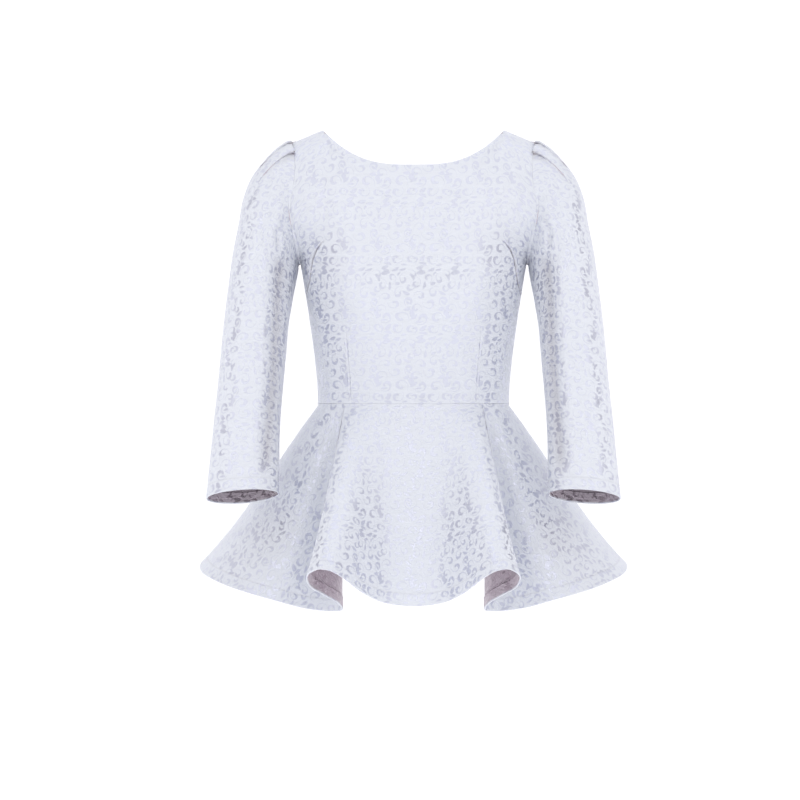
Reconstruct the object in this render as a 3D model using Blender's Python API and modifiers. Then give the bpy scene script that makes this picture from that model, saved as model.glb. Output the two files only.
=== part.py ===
import math

import bmesh
import bpy
import numpy as np
from mathutils import Matrix, Vector

# Fitted jacquard peplum top with set-in sleeves pleated at the head, held as it is worn.
# Metres. The front faces -Y, the wearer's left is +X and +Z is up.
# The origin is midway between the two neck points of the shoulders, a little below them.
# A drop is a distance down from the neck points.

# Cloth and seams
CLOTH = 0.0016                # wall of the jacquard
SEAM = 0.00045                # space between two walls that run on into each other
SHOULDER_SEAM = 0.0008        # the same along the ridge of the shoulder
TOUCH = 0.0003                # clear space between two pieces that meet at an angle

# Shoulders and neck
NECK_ABOVE_ORIGIN = 0.0075
NECK_HALF = 0.135             # neck point from the centre
SHOULDER_HALF = 0.1795        # top of the armhole from the centre
SHOULDER_DROP = 0.019
SHOULDER_ROUND = 0.14         # drop over which the shoulder rounds into the chest
SHOULDER_POWER = 0.62
FRONT_NECK = 0.0580           # depth of the neckline at the centre front
BACK_NECK = 0.085             # depth of the neckline at the centre back
FRONT_NECK_POWER = 2.8
BACK_NECK_POWER = 2.3

# Armhole
UNDERARM_DROP = 0.196
ARMHOLE_FRONT = 0.060         # how far the armhole reaches to the front of the shoulder seam
ARMHOLE_BACK = 0.054
ARMHOLE_POWER = 0.95
EDGE_BLEND = 1.6              # how late a column leaves the torso's section for the neckline's
CENTRE_RISE = 1.5             # how early the rows at the centre rise to the neckline
WIDEST_EDGE = 0.97            # greatest share of the torso's depth that the armhole's edge takes

# Bust
BUST_APART = 0.090            # bust point from the centre
BUST_DROP = 0.212
BUST_OUT = 0.011
BUST_WIDE = 0.045
BUST_TALL = 0.055

# Waist and peplum
WAIST_DROP = 0.403
PEPLUM_LENGTH = 0.302         # waist seam to hem along the cloth
PEPLUM_COLLAR = 0.0035        # upright start of the peplum under the waist seam
PEPLUM_HOLLOW = 0.07          # how much the peplum hangs in before it flares
PEPLUM_FALL = 0.06
PEPLUM_SWAY = 0.16            # fuller just under the waist and hollower near the hem

# Sleeve head
PLEAT_FOLDS = (14.0, 38.0)    # degrees round the armhole from the shoulder seam, front and back
PLEAT_OUT = 0.0038            # height of a fold's edge over the cloth beside it
PLEAT_STEP = 2.6              # degrees over which a fold's edge falls
PLEAT_RINGS = 4.2             # sleeve rings after which the pleats have opened out
PLEAT_FADE = 1.3
PLEAT_ROOT = 0.35             # share of its height that a pleat has where the next one covers it
SLEEVE_CLEAR = 0.0006         # space between the sleeve's edge and the bodice's outer face
SLEEVE_START = 0.003          # straight start of the sleeve outside the armhole
SLEEVE_SETTLED = 4.0          # sleeve rings after which its section is a plain oval

# Centre back zip
ZIP_TAPE_HALF = 0.010
ZIP_TAPE = 0.0008
ZIP_IN_PEPLUM = 0.24          # share of the peplum's length that the zip runs down
SLIDER_DROP = 0.0965          # middle of the slider
SLIDER_LENGTH = 0.009
SLIDER_NECK_HALF = 0.0007
SLIDER_OPENING = 0.0011       # half the gap that the slider's neck opens at the centre back
SLIDER_OPENING_REACH = 0.013  # over which the gap closes again
SLIDER_BODY_HALF = 0.0028
SLIDER_BODY = 0.0022          # thickness of the slider's body inside the back
SLIDER_CROWN = 0.0011         # thickness of its plate outside the back
SLIDER_NECK_END = 0.0012      # the neck ends this far inside the body's ends
SLIDER_CROWN_END = 0.0006     # and the crown this far
PIN_ABOVE_CROWN = 0.0019
PIN_UP = 0.0020               # the pin is in the slider's upper half
PIN_RADIUS = 0.0006
PIN_CLEAR = 0.0004
EAR = 0.0007
EAR_HALF = 0.0011
BARREL_RADIUS = 0.0015
BARREL_HALF = 0.0011
EYE_RADIUS = 0.00095
PULL_LENGTH = 0.021
PULL_WIDTH = 0.0052
PULL_PLATE = 0.0010
PULL_NECK = 0.9               # width of the tab at its eye, as a share of the eye's barrel
ROUND_SIDES = 20
PIN_SIDES = 12
ZIP_EASE = 0.0002             # extra space between the tape and the cloth's facets
ZIP_BELOW_SLIDER = 0.0012
ZIP_ABOVE_WAIST = 0.002
ZIP_PEPLUM_ROWS = 5
ZIP_ROWS = 14

# Resolution
LOWER_ROWS = 8
UPPER_ROWS = 10
FRONT_HEM_COLUMNS = 32
BACK_HEM_COLUMNS = 24
HEM_STEP = 0.022              # hem length that counts as one column where the hem is straight
HEM_TURN = math.radians(17)   # and the turn that does where it bends
HEM_SAMPLES = 721
WAIST_ROW = 0.004             # height of the bodice's first row over the waist seam
SEAM_COLUMN = 0.2             # width of the peplum's column beside a seam, as a share of the next
NECK_SHARE = 0.62             # share of a panel's width under the neckline
PANEL_COLUMNS = (0, 0.1, 0.2, 0.3, 0.4, 0.48, 0.545, 0.592, NECK_SHARE, 0.70, 0.80, 0.90, 0.982, 1.0)
PEPLUM_ROWS = (0.07, 0.17, 0.30, 0.45, 0.61, 0.78, 0.955, 1.0)


def table(names, *rows):
    columns = [np.array(values) for values in zip(*rows)]
    return dict(zip(names.split(), columns))


# Torso at each drop: half width, depth to the front and back, squareness of the section
TORSO = table(
    "drop   side    front   back    square",
    (0.000, 0.1795, 0.0900, 0.0840, 2.2),
    (0.050, 0.1780, 0.0930, 0.0880, 2.2),
    (0.100, 0.1780, 0.0980, 0.0930, 2.2),
    (0.150, 0.1760, 0.1060, 0.0970, 2.2),
    (0.196, 0.1665, 0.1150, 0.0990, 2.2),
    (0.234, 0.1600, 0.1160, 0.0975, 2.2),
    (0.286, 0.1520, 0.1080, 0.0930, 2.15),
    (0.339, 0.1450, 0.0970, 0.0860, 2.1),
    (0.379, 0.1412, 0.0900, 0.0810, 2.1),
    (0.403, 0.1405, 0.0880, 0.0800, 2.1),
)

# Armhole edge seen from the front
ARMHOLE = table(
    "drop   out",
    (0.019, 0.1795),
    (0.040, 0.1745),
    (0.070, 0.1735),
    (0.095, 0.1765),
    (0.114, 0.1790),
    (0.136, 0.1770),
    (0.161, 0.1715),
    (0.180, 0.1675),
    (0.196, 0.1665),
)

# Peplum: each thread, the angle where it leaves the waist, and where it reaches the hem in plan
HEM = table(
    "thread waist   out     back",
    (-12.0, -12.0, -0.043, -0.205),
    (0.0, 0.0, 0.000, -0.191),
    (12.0, 12.0, 0.043, -0.205),
    (21.0, 21.0, 0.073, -0.234),
    (28.0, 28.0, 0.096, -0.2585),
    (34.0, 34.0, 0.117, -0.2675),
    (39.0, 40.3, 0.136, -0.2605),
    (43.5, 43.6, 0.149, -0.2385),
    (46.5, 44.5, 0.143, -0.217),
    (49.0, 45.2, 0.124, -0.198),
    (51.0, 45.9, 0.107, -0.170),
    (52.5, 46.5, 0.102, -0.135),
    (55.0, 48.2, 0.113, -0.106),
    (59.0, 52.3, 0.150, -0.106),
    (63.0, 57.5, 0.190, -0.124),
    (68.0, 64.0, 0.232, -0.116),
    (73.0, 70.3, 0.268, -0.090),
    (79.0, 77.3, 0.299, -0.054),
    (85.0, 84.2, 0.315, 0.000),
    (90.0, 90.0, 0.3175, 0.052),
    (96.0, 96.0, 0.303, 0.098),
    (103.0, 103.0, 0.272, 0.134),
    (110.0, 110.0, 0.229, 0.157),
    (116.0, 116.0, 0.186, 0.151),
    (120.0, 120.0, 0.158, 0.124),
    (123.0, 123.0, 0.137, 0.128),
    (126.5, 126.5, 0.134, 0.170),
    (131.0, 131.0, 0.137, 0.219),
    (138.0, 138.0, 0.121, 0.258),
    (147.0, 147.0, 0.091, 0.272),
    (157.0, 157.0, 0.056, 0.240),
    (168.0, 168.0, 0.026, 0.200),
    (180.0, 180.0, 0.000, 0.186),
    (192.0, 192.0, -0.026, 0.200),
)

# Sleeve rings: outer and inner points seen from the front, place and half depth along Y, tilt
SLEEVE = table(
    "ring   top     top_drop under  under_drop back    deep   tilt",
    (0.0, 0.1795, 0.0190, 0.1665, 0.1960, 0.0000, 0.0570, 0.0),
    (1.0, 0.1915, 0.0215, 0.1710, 0.1990, 0.0000, 0.0600, 0.0),
    (2.0, 0.2105, 0.0365, 0.1720, 0.2050, -0.0030, 0.0640, 1.0),
    (3.0, 0.2360, 0.0680, 0.1735, 0.2150, -0.0080, 0.0680, 2.0),
    (4.0, 0.2500, 0.1020, 0.1755, 0.2280, -0.0140, 0.0690, 3.0),
    (5.0, 0.2565, 0.1420, 0.1780, 0.2435, -0.0220, 0.0680, 5.0),
    (6.0, 0.2640, 0.1830, 0.1805, 0.2630, -0.0310, 0.0660, 7.0),
    (7.0, 0.2705, 0.2365, 0.1840, 0.2910, -0.0430, 0.0620, 9.0),
    (8.0, 0.2770, 0.3000, 0.1870, 0.3355, -0.0580, 0.0570, 11.0),
    (9.0, 0.2830, 0.3790, 0.1910, 0.3895, -0.0790, 0.0500, 13.0),
    (10.0, 0.2880, 0.4350, 0.1935, 0.4350, -0.0960, 0.0450, 15.0),
    (11.0, 0.2915, 0.4830, 0.1940, 0.4800, -0.1130, 0.0410, 16.0),
    (12.0, 0.2960, 0.5390, 0.1930, 0.5315, -0.1330, 0.0385, 17.0),
)
SLEEVE_RINGS = (0.9, 1.4, 2.0, 2.6, 3.2, 3.8, 4.5, 5.3, 6.1, 6.9, 7.7, 8.5, 9.4, 10.3, 11.2, 11.8, 12.0)
SLEEVE_COLUMNS = (0, 6, 12.7, 15.3, 22, 30, 36.7, 39.3, 49, 60, 72, 84, 96, 108, 120, 132, 144, 156, 168)


def smooth(values, name, at):
    # A cubic curve through the rows of a table, read at one value of its first column
    keys = next(iter(values.values()))
    heights = values[name]
    slopes = np.gradient(heights, keys)
    i = int(np.clip(np.searchsorted(keys, at) - 1, 0, len(keys) - 2))
    width = keys[i + 1] - keys[i]
    t = min(max((at - keys[i]) / width, 0.0), 1.0)
    rise = heights[i + 1] - heights[i]
    a = slopes[i] * width - rise
    b = rise - slopes[i + 1] * width
    return float(heights[i] + rise * t + t * (1 - t) * (a * (1 - t) + b * t))


def height(drop):
    return NECK_ABOVE_ORIGIN - drop


def oval(angle, power):
    # Sine and cosine of a superellipse
    s, c = math.sin(angle), math.cos(angle)
    return math.copysign(abs(s) ** (2 / power), s), math.copysign(abs(c) ** (2 / power), c)


# Torso

def shoulder_line(out):
    # Drop of the shoulder's ridge, which goes on rising inside the neckline
    return SHOULDER_DROP * (out - NECK_HALF) / (SHOULDER_HALF - NECK_HALF)


def shoulder_rounding(out, drop):
    t = min(max((drop - shoulder_line(out)) / SHOULDER_ROUND, 0.0), 1.0)
    return (1 - (1 - t) ** 2) ** SHOULDER_POWER


def bust(out, drop):
    across = ((out - BUST_APART) / BUST_WIDE) ** 2
    down = ((drop - BUST_DROP) / BUST_TALL) ** 2
    return BUST_OUT * math.exp(-across - down)


def torso_depth(side, out, drop, reach, power):
    # Y of the torso's surface, in front where side is -1 and behind where it is 1
    name = "front" if side < 0 else "back"
    full = smooth(TORSO, name, drop) * shoulder_rounding(out, drop)
    share = max(0.0, 1 - min(out / reach, 1.0) ** power) ** (1 / power)
    extra = bust(out, drop) * share if side < 0 else 0.0
    return side * (full * share + extra)


def armhole_edge(side, turn):
    # turn runs from 0 at the underarm to 1 at the shoulder seam
    middle = (UNDERARM_DROP + SHOULDER_DROP) / 2
    tall = (UNDERARM_DROP - SHOULDER_DROP) / 2
    drop = middle + tall * math.cos(math.pi * turn)
    deep = ARMHOLE_FRONT if side < 0 else ARMHOLE_BACK
    back = side * deep * max(0.0, math.sin(math.pi * turn)) ** ARMHOLE_POWER
    return smooth(ARMHOLE, "out", drop), back, drop


def neckline(side, out):
    deep, power = (FRONT_NECK, FRONT_NECK_POWER) if side < 0 else (BACK_NECK, BACK_NECK_POWER)
    if out >= NECK_HALF:
        return shoulder_line(out)
    return deep * (1 - (out / NECK_HALF) ** power)


def lower_point(side, u, drop):
    # Below the underarm: u runs from the centre to the side seam
    power = smooth(TORSO, "square", drop)
    reach = smooth(TORSO, "side", drop)
    out = reach * oval(u * math.pi / 2, power)[0]
    return out, torso_depth(side, out, drop, reach, power), drop


def upper_point(side, u, turn):
    # Above the underarm: u runs from the centre to the armhole
    edge_out, edge_back, edge_drop = armhole_edge(side, turn)
    power = smooth(TORSO, "square", edge_drop)
    name = "front" if side < 0 else "back"
    full = smooth(TORSO, name, edge_drop) * max(shoulder_rounding(edge_out, edge_drop), 0.001)
    share = min(abs(edge_back) / full, WIDEST_EDGE)
    reach = edge_out / (1 - share ** power) ** (1 / power)
    edge_angle = math.asin(min(edge_out / reach, 1.0) ** (power / 2))
    on_section = reach * oval(u * edge_angle, power)[0]
    if u < NECK_SHARE:
        on_top = NECK_HALF * u / NECK_SHARE
    else:
        on_top = NECK_HALF + (SHOULDER_HALF - NECK_HALF) * (u - NECK_SHARE) / (1 - NECK_SHARE)
    blend = turn ** EDGE_BLEND
    out = on_section * (1 - blend) + on_top * edge_out / SHOULDER_HALF * blend
    at_edge = (1 - math.cos(math.pi * turn)) / 2
    at_centre = 1 - (1 - turn) ** CENTRE_RISE
    rise = at_centre + (at_edge - at_centre) * u ** 2
    top = neckline(side, on_top)
    drop = UNDERARM_DROP + (top - UNDERARM_DROP) * rise
    if u == 1.0:
        return edge_out, edge_back, edge_drop
    return out, torso_depth(side, out, drop, max(reach, out), power), drop


def bodice_grid(side):
    # Half of the front or back bodice, from the waist up and from the centre out
    grid = []
    bottom = WAIST_DROP - SEAM / 2
    lower = [bottom, bottom - WAIST_ROW]
    step = (bottom - UNDERARM_DROP) / LOWER_ROWS
    lower += [bottom - step * i for i in range(1, LOWER_ROWS + 1)]
    for drop in lower:
        grid.append([lower_point(side, u, drop) for u in PANEL_COLUMNS])
    for i in range(1, UPPER_ROWS + 1):
        grid.append([upper_point(side, u, i / UPPER_ROWS) for u in PANEL_COLUMNS])
    seam = SEAM / 2
    points = []
    for row in grid:
        points.append([Vector((out, back, height(drop))) for out, back, drop in row])
    for point in [row[-1] for row in points[:len(lower)]]:
        point.y = side * seam
    for point in points[-1]:
        if point.x >= NECK_HALF - 0.0001:
            point.y = side * SHOULDER_SEAM / 2
    return points


# Peplum

def waist_point(angle):
    side = -1 if angle < 90 else 1
    power = smooth(TORSO, "square", WAIST_DROP)
    reach = smooth(TORSO, "side", WAIST_DROP)
    deep = smooth(TORSO, "front" if side < 0 else "back", WAIST_DROP)
    s, c = oval(math.radians(angle), power)
    return Vector((reach * s, -deep * c, height(WAIST_DROP + SEAM / 2)))


def thread_start(thread):
    # The threads round the front flute leave the waist close together
    return waist_point(smooth(HEM, "waist", thread))


def peplum_point(thread, share):
    # share runs from the upright start under the waist seam to the hem
    waist = thread_start(thread)
    out = Vector((smooth(HEM, "out", thread) - waist.x, smooth(HEM, "back", thread) - waist.y, 0))
    fall = math.sqrt(PEPLUM_LENGTH ** 2 - out.length_squared) - PEPLUM_COLLAR
    middle = share * (1 - share)
    across = share + middle * (PEPLUM_SWAY * (1 - 2 * share) - PEPLUM_HOLLOW)
    down = share + PEPLUM_FALL * middle
    return waist + out * across - Vector((0, 0, PEPLUM_COLLAR + fall * down))


def hem_threads(first, last, count):
    # Threads that space the columns by the hem's length and by how sharply it turns
    fine = np.linspace(first, last, HEM_SAMPLES)
    hem = np.array([peplum_point(thread, 1.0) for thread in fine])
    steps = np.diff(hem, axis=0)
    lengths = np.linalg.norm(steps, axis=1)
    heading = np.unwrap(np.arctan2(steps[:, 1], steps[:, 0]))
    turns = np.abs(np.append(np.diff(heading), 0))
    measure = np.concatenate(([0], np.cumsum(lengths / HEM_STEP + turns / HEM_TURN)))
    threads = [float(t) for t in np.interp(np.linspace(0, measure[-1], count + 1), measure, fine)]
    narrow = [threads[-1] + (threads[-2] - threads[-1]) * SEAM_COLUMN]
    if first > 0:
        narrow.append(threads[0] + (threads[1] - threads[0]) * SEAM_COLUMN)
    return sorted(threads + narrow)


def peplum_grid(first, last, count):
    threads = hem_threads(first, last, count)
    grid = [[thread_start(thread) for thread in threads]]
    grid += [[peplum_point(thread, share) for thread in threads] for share in (0.0,) + PEPLUM_ROWS]
    for row in grid:
        for point, thread in zip(row, threads):
            if abs(thread - 90) < 0.001:
                point.y += math.copysign(SEAM / 2, (first + last) / 2 - 90)
    return grid


# Sleeve

def sleeve_centre_ring(ring, angle):
    # A plain oval round the arm; angle is 0 at the top, 90 in front and 180 at the underarm
    top = Vector((smooth(SLEEVE, "top", ring), 0, height(smooth(SLEEVE, "top_drop", ring))))
    under = Vector((smooth(SLEEVE, "under", ring), 0, height(smooth(SLEEVE, "under_drop", ring))))
    tilt = math.radians(smooth(SLEEVE, "tilt", ring))
    forward = Vector((0, -math.cos(tilt), math.sin(tilt))) * smooth(SLEEVE, "deep", ring)
    turn = math.radians(angle)
    middle = (top + under) / 2 + Vector((0, smooth(SLEEVE, "back", ring), 0))
    return middle, (top - under) / 2 * math.cos(turn) + forward * math.sin(turn)


def armhole_point(angle):
    # On the straight stretches between the rows of the bodice's edge
    side = -1 if angle < 180 else 1
    row = (1 - (angle if angle < 180 else 360 - angle) / 180) * UPPER_ROWS
    first = min(int(row), UPPER_ROWS - 1)
    low, high = (Vector(armhole_edge(side, (first + i) / UPPER_ROWS)) for i in (0, 1))
    out, back, drop = low.lerp(high, row - first)
    return Vector((out, back, height(drop)))


def armhole_lean(angle):
    # How far the bodice's wall beside the armhole faces outwards
    side = -1 if angle < 180 else 1
    turn = 1 - (angle if angle < 180 else 360 - angle) / 180
    turn = min(max(turn, 0.02), 0.98)
    near = Vector(upper_point(side, 0.985, turn))
    ahead = Vector(upper_point(side, 0.985, turn + 0.015))
    beside = Vector(upper_point(side, 0.999, turn))
    normal = (beside - near).cross(ahead - near).normalized()
    return abs(normal.x)


def pleat(angle, ring):
    # Two knife pleats on each side of the shoulder seam, whose folds point down
    away = angle if angle < 180 else 360 - angle
    open_out = max(0.0, 1 - ring / PLEAT_RINGS) ** PLEAT_FADE
    start = 0.0
    for fold in PLEAT_FOLDS:
        before = fold - PLEAT_STEP / 2
        after = fold + PLEAT_STEP / 2
        if away <= before:
            climb = (away - start) / (before - start)
            return PLEAT_OUT * open_out * (PLEAT_ROOT + (1 - PLEAT_ROOT) * climb)
        if away < after:
            return PLEAT_OUT * open_out * (after - away) / PLEAT_STEP
        start = after
    return 0.0


def sleeve_seam_point(angle, out):
    # The sleeve leaves the armhole straight outwards
    spoke = sleeve_centre_ring(0.0, angle)[1].normalized()
    point = armhole_point(angle) + spoke * pleat(angle, 0.0)
    point.x += SLEEVE_CLEAR + CLOTH / 2 * armhole_lean(angle) + out
    return point


def sleeve_point(ring, angle):
    middle, spoke = sleeve_centre_ring(ring, angle)
    fade = max(0.0, 1 - ring / SLEEVE_SETTLED) ** 2
    first_middle, first_spoke = sleeve_centre_ring(0.0, angle)
    off_oval = armhole_point(angle) - first_middle - first_spoke
    return middle + spoke + off_oval * fade + spoke.normalized() * pleat(angle, ring)


def sleeve_angles():
    half = [float(angle) for angle in SLEEVE_COLUMNS]
    return half + [180.0] + [360.0 - angle for angle in reversed(half[1:])]


def sleeve_grid():
    grid = [[sleeve_seam_point(angle, out) for angle in sleeve_angles()] for out in (0.0, SLEEVE_START)]
    return grid + [[sleeve_point(ring, angle) for angle in sleeve_angles()] for ring in SLEEVE_RINGS]


# Centre back zip

def centre_back_point(out, drop):
    reach = smooth(TORSO, "side", drop)
    return Vector((out, torso_depth(1, abs(out), drop, reach, smooth(TORSO, "square", drop)), height(drop)))


def peplum_centre_back_point(out, share):
    reach = smooth(TORSO, "side", WAIST_DROP)
    power = smooth(TORSO, "square", WAIST_DROP)
    angle = 180 - math.degrees(math.asin((abs(out) / reach) ** (power / 2)))
    point = peplum_point(angle, share)
    point.x = math.copysign(point.x, out)
    return point


def inside_of(surface, out, down, step, distance):
    # The surface's point moved towards the wearer, square to the cloth
    here = surface(out, down)
    below = surface(out, down + step) - here
    beside = surface(out + 0.001, down) - here
    normal = below.cross(beside).normalized()
    if normal.y > 0:
        normal = -normal
    return here + normal * distance


def zip_grid():
    inset = CLOTH / 2 + TOUCH + ZIP_TAPE / 2 + ZIP_EASE
    columns = [ZIP_TAPE_HALF * c for c in (-1.0, -0.5, 0.0, 0.5, 1.0)]
    top = SLIDER_DROP + SLIDER_LENGTH / 2 + ZIP_BELOW_SLIDER
    drops = np.linspace(top, WAIST_DROP - ZIP_ABOVE_WAIST, ZIP_ROWS)
    grid = [[inside_of(centre_back_point, x, drop, 0.001, inset) for x in columns] for drop in drops]
    shares = [0.0] + list(np.linspace(ZIP_IN_PEPLUM / 6, ZIP_IN_PEPLUM, ZIP_PEPLUM_ROWS))
    for share in shares:
        grid.append([inside_of(peplum_centre_back_point, x, share, 0.01, inset) for x in columns])
    return grid


def slider_frame():
    # X across, Y out of the back and Z up along it, at the back's middle surface
    here = centre_back_point(0, SLIDER_DROP)
    up = (centre_back_point(0, SLIDER_DROP - 0.004) - centre_back_point(0, SLIDER_DROP + 0.004)).normalized()
    across = Vector((1, 0, 0))
    frame = Matrix((across, up.cross(across), up)).transposed().to_4x4()
    frame.translation = here
    return frame


# Making objects

def material(name, colour, roughness, metallic=0.0):
    made = bpy.data.materials.new(name)
    made.use_nodes = True
    shader = made.node_tree.nodes["Principled BSDF"]
    shader.inputs["Base Color"].default_value = (*colour, 1.0)
    shader.inputs["Roughness"].default_value = roughness
    shader.inputs["Metallic"].default_value = metallic
    return made


def place(collection, name, mesh, look, parent):
    made = bpy.data.objects.new(name, mesh)
    mesh.materials.append(look)
    mesh.shade_smooth()
    mesh.set_sharp_from_angle(angle=math.radians(40))
    collection.objects.link(made)
    made.parent = parent
    return made


def sheet_mesh(name, grid, mirrored=False, closed=False):
    # An open surface through the rows of a grid of points
    work = bmesh.new()
    sign = -1 if mirrored else 1
    rows = [[work.verts.new((sign * p.x, p.y, p.z)) for p in row] for row in grid]
    count = len(rows[0])
    for below, above in zip(rows, rows[1:]):
        for i in range(count if closed else count - 1):
            j = (i + 1) % count
            work.faces.new((below[i], below[j], above[j], above[i]))
    bmesh.ops.recalc_face_normals(work, faces=work.faces)
    mesh = bpy.data.meshes.new(name)
    work.to_mesh(mesh)
    work.free()
    return mesh


def thicken(made, wall):
    solid = made.modifiers.new("Wall", "SOLIDIFY")
    solid.thickness = wall
    solid.offset = 0.0
    return solid


def mirror_across(made):
    both = made.modifiers.new("Other half", "MIRROR")
    both.use_axis = (True, False, False)
    both.use_clip = True
    both.merge_threshold = 0.00005


def open_at_centre_back(grid, slider_z):
    # The centre column steps aside by half a seam, and further where the slider's neck passes
    for row in grid:
        z = row[0].z
        near = max(0.0, 1 - ((z - slider_z) / SLIDER_OPENING_REACH) ** 2)
        row[0].x = SEAM / 2 + SLIDER_OPENING * near


def block(name, low, high):
    # A box between two corners
    mesh = bpy.data.meshes.new(name)
    work = bmesh.new()
    size = Vector(high) - Vector(low)
    middle = (Vector(high) + Vector(low)) / 2
    bmesh.ops.create_cube(work, size=1.0, matrix=Matrix.Translation(middle) @ Matrix.Diagonal((*size, 1)))
    work.to_mesh(mesh)
    work.free()
    return mesh


def rod_across(name, radius, half_length, centre, sides):
    # A cylinder along X
    mesh = bpy.data.meshes.new(name)
    work = bmesh.new()
    turned = Matrix.Translation(centre) @ Matrix.Rotation(math.pi / 2, 4, "Y")
    bmesh.ops.create_cone(work, cap_ends=True, segments=sides, radius1=radius, radius2=radius,
                          depth=2 * half_length, matrix=turned)
    work.to_mesh(mesh)
    work.free()
    return mesh


def combine(made, meshes, operation, helpers):
    # Joins or cuts an object with hidden helpers that share its place
    for i, mesh in enumerate(meshes):
        helper = bpy.data.objects.new(f"{made.name}_{operation.lower()}_{i}", mesh)
        helpers.objects.link(helper)
        helper.parent = made.parent
        helper.matrix_parent_inverse = made.matrix_parent_inverse
        helper.hide_render = True
        helper.display_type = "WIRE"
        step = made.modifiers.new(helper.name, "BOOLEAN")
        step.operation = operation
        step.solver = "EXACT"
        step.object = helper


def build_slider(collection, helpers, look, holder):
    # The slider's body lies inside the back, its neck passes between the two halves
    face = CLOTH / 2 + TOUCH
    half = SLIDER_LENGTH / 2
    made = place(collection, "zip_slider",
                 block("zip_slider", (-SLIDER_BODY_HALF, -face - SLIDER_BODY, -half),
                       (SLIDER_BODY_HALF, -face, half)), look, holder)
    crown = face + SLIDER_CROWN
    pin = Vector((0, crown + PIN_ABOVE_CROWN, PIN_UP))
    ear_inner = BARREL_HALF + PIN_CLEAR
    ear_outer = ear_inner + EAR
    pieces = [block("neck", (-SLIDER_NECK_HALF, -face - SLIDER_BODY / 2, -half + SLIDER_NECK_END),
                    (SLIDER_NECK_HALF, crown - SLIDER_CROWN / 2, half - SLIDER_NECK_END)),
              block("crown", (-ear_outer, face, -half + SLIDER_CROWN_END),
                    (ear_outer, crown, half - SLIDER_CROWN_END))]
    for side in (-1, 1):
        low, high = sorted((side * ear_inner, side * ear_outer))
        pieces.append(block("ear", (low, crown - SLIDER_CROWN / 2, pin.z - EAR_HALF),
                            (high, pin.y + EAR_HALF, pin.z + EAR_HALF)))
    pieces.append(rod_across("pin", PIN_RADIUS, ear_inner + EAR / 2, pin, PIN_SIDES))
    combine(made, pieces, "UNION", helpers)
    return made


def build_pull(collection, helpers, look, hinge):
    # A tapered tab with an eye round the slider's pin, hanging down the back
    barrel = rod_across("zip_pull", BARREL_RADIUS, BARREL_HALF, Vector((0, 0, 0)), ROUND_SIDES)
    made = place(collection, "zip_pull", barrel, look, hinge)
    outline = bpy.data.curves.new("tab", "CURVE")
    outline.dimensions = "2D"
    outline.fill_mode = "BOTH"
    outline.extrude = PULL_PLATE / 2
    line = outline.splines.new("POLY")
    wide = PULL_WIDTH / 2
    end = PULL_LENGTH - wide
    top = (BARREL_RADIUS + EYE_RADIUS) / 2
    arc = [math.radians(a) for a in range(0, 181, 15)]
    corners = [(-BARREL_HALF * PULL_NECK, -top)]
    corners += [(-wide * math.cos(a), -end - wide * math.sin(a)) for a in arc]
    corners += [(BARREL_HALF * PULL_NECK, -top)]
    line.points.add(len(corners) - 1)
    for point, (x, y) in zip(line.points, corners):
        point.co = (x, y, 0, 1)
    line.use_cyclic_u = True
    flat = bpy.data.objects.new("tab", outline)
    collection.objects.link(flat)
    bpy.context.view_layer.update()
    mesh = bpy.data.meshes.new_from_object(flat.evaluated_get(bpy.context.evaluated_depsgraph_get()))
    bpy.data.objects.remove(flat, do_unlink=True)
    work = bmesh.new()
    work.from_mesh(mesh)
    bmesh.ops.remove_doubles(work, verts=work.verts, dist=0.00001)
    bmesh.ops.transform(work, matrix=Matrix.Rotation(math.pi / 2, 4, "X"), verts=work.verts)
    bmesh.ops.recalc_face_normals(work, faces=work.faces)
    work.to_mesh(mesh)
    work.free()
    combine(made, [mesh], "UNION", helpers)
    combine(made, [rod_across("eye", EYE_RADIUS, BARREL_HALF * 2, Vector((0, 0, 0)), ROUND_SIDES)],
            "DIFFERENCE", helpers)
    return made


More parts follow.
